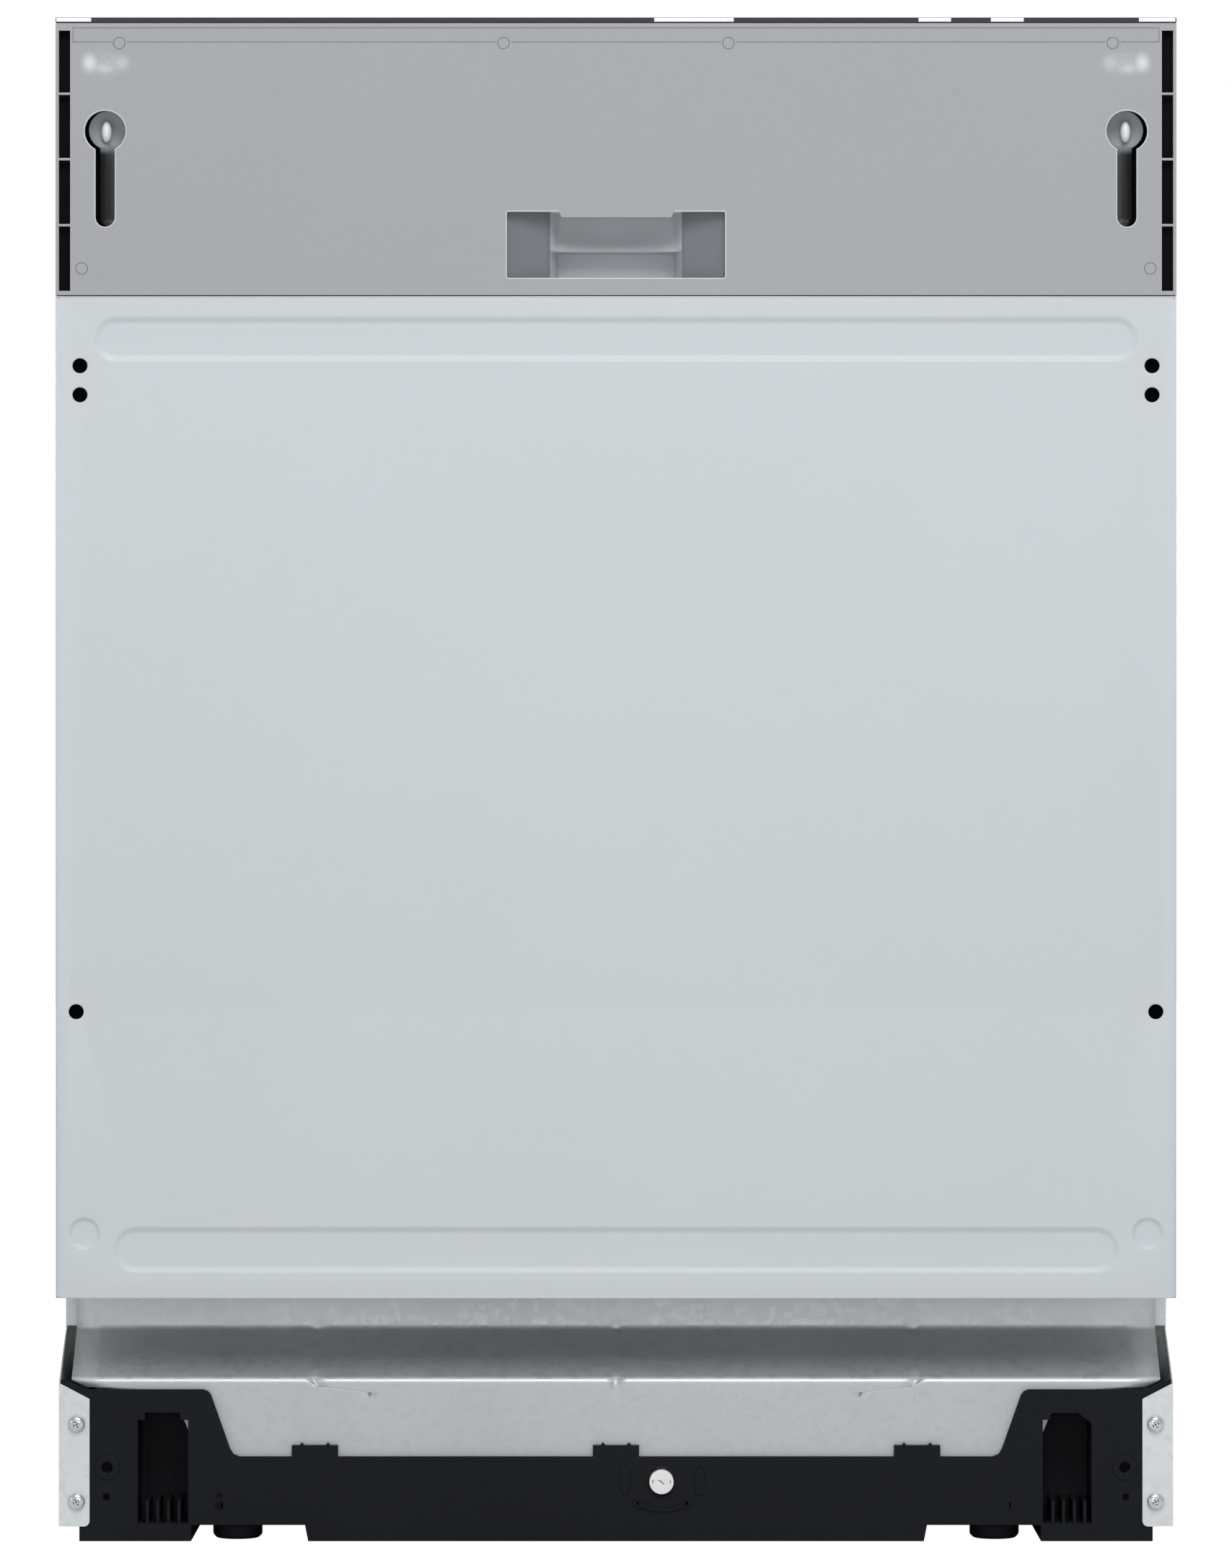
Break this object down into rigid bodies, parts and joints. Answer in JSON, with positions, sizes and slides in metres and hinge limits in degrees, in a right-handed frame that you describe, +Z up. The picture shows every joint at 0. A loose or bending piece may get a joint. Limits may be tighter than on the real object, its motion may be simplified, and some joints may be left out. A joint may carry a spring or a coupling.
{
  "type": "built-in dishwasher",
  "caption": "Built-in dishwasher without furniture front: hinged door with hidden top controls, steel tub with sliding racks and spray arms, folded kick sheet, black base with levelling feet.",
  "frame": {"origin": "on the floor, under the middle of the cabinet's width and depth", "axes": "+Z up, -Y towards the door's front, +X to the right as seen from the front"},
  "size_m": [0.598, 0.55, 0.815],
  "materials": {
    "grey_plastic": "fine satin texture",
    "dark_grey_plastic": "satin",
    "black_plastic": "satin",
    "black_gloss": "gloss",
    "white_plastic": "satin",
    "painted_steel": "satin paint",
    "galvanised_steel": "galvanised",
    "stainless_steel": "brushed",
    "zinc_plate": "bright zinc",
    "rubber": "matt",
    "rack_coating": "nylon coating",
    "bitumen": "matt",
    "circuit_board": "satin"
  },
  "bodies": {
    "cabinet": {"base_carrier": "black_plastic", "side_panel_left": "galvanised_steel", "side_panel_right": "galvanised_steel", "flange_screw_left_upper": "zinc_plate", "flange_screw_left_lower": "zinc_plate", "flange_screw_right_upper": "zinc_plate", "flange_screw_right_lower": "zinc_plate", "kick_plate": "galvanised_steel", "top_brace": "galvanised_steel", "back_panel": "galvanised_steel", "tub": "stainless_steel", "tub_gasket": "rubber", "top_insulation": "bitumen", "sump": "black_plastic", "filter_plate": "stainless_steel", "water_softener": "white_plastic", "circulation_pump": "black_plastic", "drain_pump": "white_plastic", "inlet_valve": "white_plastic", "drain_outlet": "black_plastic", "mains_inlet": "black_plastic", "upper_rail_left": "stainless_steel", "upper_rail_right": "stainless_steel", "hinge_bracket_left": "galvanised_steel", "hinge_bracket_right": "galvanised_steel", "door_spring_left": "zinc_plate", "door_spring_right": "zinc_plate"},
    "door": {"control_fascia": "grey_plastic", "control_strip": "black_gloss", "handle_pocket": "dark_grey_plastic", "door_outer_panel": "painted_steel", "door_inner_panel": "stainless_steel", "door_latch": "black_plastic", "control_board": "circuit_board", "door_bottom_seal": "rubber", "dispenser_body": "dark_grey_plastic", "hinge_arm_left": "galvanised_steel", "hinge_arm_right": "galvanised_steel"},
    "power_key": {"power_button": "black_gloss"},
    "program_key": {"program_button": "black_gloss"},
    "option_key": {"option_button": "black_gloss"},
    "start_key": {"start_button": "black_gloss"},
    "detergent_lid": {"dispenser_lid": "grey_plastic"},
    "rinse_cap": {"rinse_aid_cap": "grey_plastic"},
    "lower_rack": {"lower_rack": "rack_coating"},
    "wheel_left_front": {"rack_wheel_left_front": "dark_grey_plastic"},
    "wheel_left_rear": {"rack_wheel_left_rear": "dark_grey_plastic"},
    "wheel_right_front": {"rack_wheel_right_front": "dark_grey_plastic"},
    "wheel_right_rear": {"rack_wheel_right_rear": "dark_grey_plastic"},
    "upper_rack": {"upper_rack": "rack_coating"},
    "cutlery_basket": {"cutlery_basket": "dark_grey_plastic"},
    "lower_spray": {"lower_spray_arm": "dark_grey_plastic"},
    "upper_spray": {"upper_spray_arm": "dark_grey_plastic"},
    "filter": {"filter_cup": "dark_grey_plastic"},
    "salt_cap": {"salt_cap": "white_plastic"},
    "foot_left": {"front_foot_left": "black_plastic"},
    "foot_right": {"front_foot_right": "black_plastic"},
    "adjuster": {"rear_adjuster": "white_plastic"},
    "foot_gear": {"rear_foot_gear": "white_plastic"},
    "foot_rear": {"rear_foot": "black_plastic"}
  },
  "joints": [
    {"name": "door_hinge", "type": "hinge", "parent": "cabinet", "child": "door", "pos_m": [0, -0.235, 0.145], "axis": [1, 0, 0], "range_deg": [0, 90]},
    {"name": "power_press", "type": "slide", "parent": "door", "child": "power_key", "axis": [0, 0, 1], "range_m": [-0.0015, 0], "stiffness_N_per_m": 400, "springref_m": 0.0005},
    {"name": "program_press", "type": "slide", "parent": "door", "child": "program_key", "axis": [0, 0, 1], "range_m": [-0.0015, 0], "stiffness_N_per_m": 400, "springref_m": 0.0005},
    {"name": "option_press", "type": "slide", "parent": "door", "child": "option_key", "axis": [0, 0, 1], "range_m": [-0.0015, 0], "stiffness_N_per_m": 400, "springref_m": 0.0005},
    {"name": "start_press", "type": "slide", "parent": "door", "child": "start_key", "axis": [0, 0, 1], "range_m": [-0.0015, 0], "stiffness_N_per_m": 400, "springref_m": 0.0005},
    {"name": "detergent_lid_slide", "type": "slide", "parent": "door", "child": "detergent_lid", "axis": [0, 0, -1], "range_m": [0, 0.052]},
    {"name": "rinse_cap_turn", "type": "hinge", "parent": "door", "child": "rinse_cap", "pos_m": [0.03, -0.2067, 0.418], "axis": [0, 1, 0], "range_deg": [0, 90]},
    {"name": "lower_rack_slide", "type": "slide", "parent": "cabinet", "child": "lower_rack", "axis": [0, -1, 0], "range_m": [0, 0.012]},
    {"name": "wheel_left_front_roll", "type": "hinge", "parent": "lower_rack", "child": "wheel_left_front", "pos_m": [-0.2145, -0.128, 0.1643], "axis": [1, 0, 0], "range_deg": [0, 50]},
    {"name": "wheel_left_rear_roll", "type": "hinge", "parent": "lower_rack", "child": "wheel_left_rear", "pos_m": [-0.2145, 0.176, 0.1643], "axis": [1, 0, 0], "range_deg": [0, 50]},
    {"name": "wheel_right_front_roll", "type": "hinge", "parent": "lower_rack", "child": "wheel_right_front", "pos_m": [0.2145, -0.128, 0.1643], "axis": [1, 0, 0], "range_deg": [0, 50]},
    {"name": "wheel_right_rear_roll", "type": "hinge", "parent": "lower_rack", "child": "wheel_right_rear", "pos_m": [0.2145, 0.176, 0.1643], "axis": [1, 0, 0], "range_deg": [0, 50]},
    {"name": "upper_rack_slide", "type": "slide", "parent": "cabinet", "child": "upper_rack", "axis": [0, -1, 0], "range_m": [0, 0.012]},
    {"name": "cutlery_basket_lift", "type": "slide", "parent": "lower_rack", "child": "cutlery_basket", "axis": [0, 0, 1], "range_m": [0, 0.09]},
    {"name": "lower_spray_spin", "type": "hinge", "parent": "cabinet", "child": "lower_spray", "pos_m": [0, 0.018, 0.187], "axis": [0, 0, 1], "continuous": true},
    {"name": "upper_spray_spin", "type": "hinge", "parent": "upper_rack", "child": "upper_spray", "pos_m": [0, 0.018, 0.473], "axis": [0, 0, 1], "continuous": true},
    {"name": "filter_twist", "type": "hinge", "parent": "cabinet", "child": "filter", "pos_m": [0.055, -0.045, 0.13], "axis": [0, 0, 1], "range_deg": [0, 90]},
    {"name": "salt_cap_turn", "type": "hinge", "parent": "cabinet", "child": "salt_cap", "pos_m": [-0.165, 0.11, 0.155], "axis": [0, 0, 1], "range_deg": [0, 270]},
    {"name": "foot_left_screw", "type": "slide", "parent": "cabinet", "child": "foot_left", "axis": [0, 0, 1], "range_m": [-0.06, 0]},
    {"name": "foot_right_screw", "type": "slide", "parent": "cabinet", "child": "foot_right", "axis": [0, 0, 1], "range_m": [-0.06, 0]},
    {"name": "adjuster_turn", "type": "hinge", "parent": "cabinet", "child": "adjuster", "pos_m": [0.0244, 0, 0.032], "axis": [0, 1, 0], "range_deg": [0, 10800]},
    {"name": "foot_gear_turn", "type": "hinge", "parent": "cabinet", "child": "foot_gear", "pos_m": [0, 0.215, 0.032], "axis": [0, 0, 1], "range_deg": [0, 5400]},
    {"name": "rear_foot_screw", "type": "slide", "parent": "cabinet", "child": "foot_rear", "axis": [0, 0, 1], "range_m": [-0.06, 0]}
  ],
  "couplings": [
    {"joint": "wheel_left_front_roll", "follows": "lower_rack_slide", "rad_per_m": 71.429},
    {"joint": "wheel_left_rear_roll", "follows": "lower_rack_slide", "rad_per_m": 71.429},
    {"joint": "wheel_right_front_roll", "follows": "lower_rack_slide", "rad_per_m": 71.429},
    {"joint": "wheel_right_rear_roll", "follows": "lower_rack_slide", "rad_per_m": 71.429},
    {"joint": "foot_gear_turn", "follows": "adjuster_turn", "ratio": 0.5},
    {"joint": "rear_foot_screw", "follows": "adjuster_turn", "m_per_rad": -0.0003183}
  ]
}
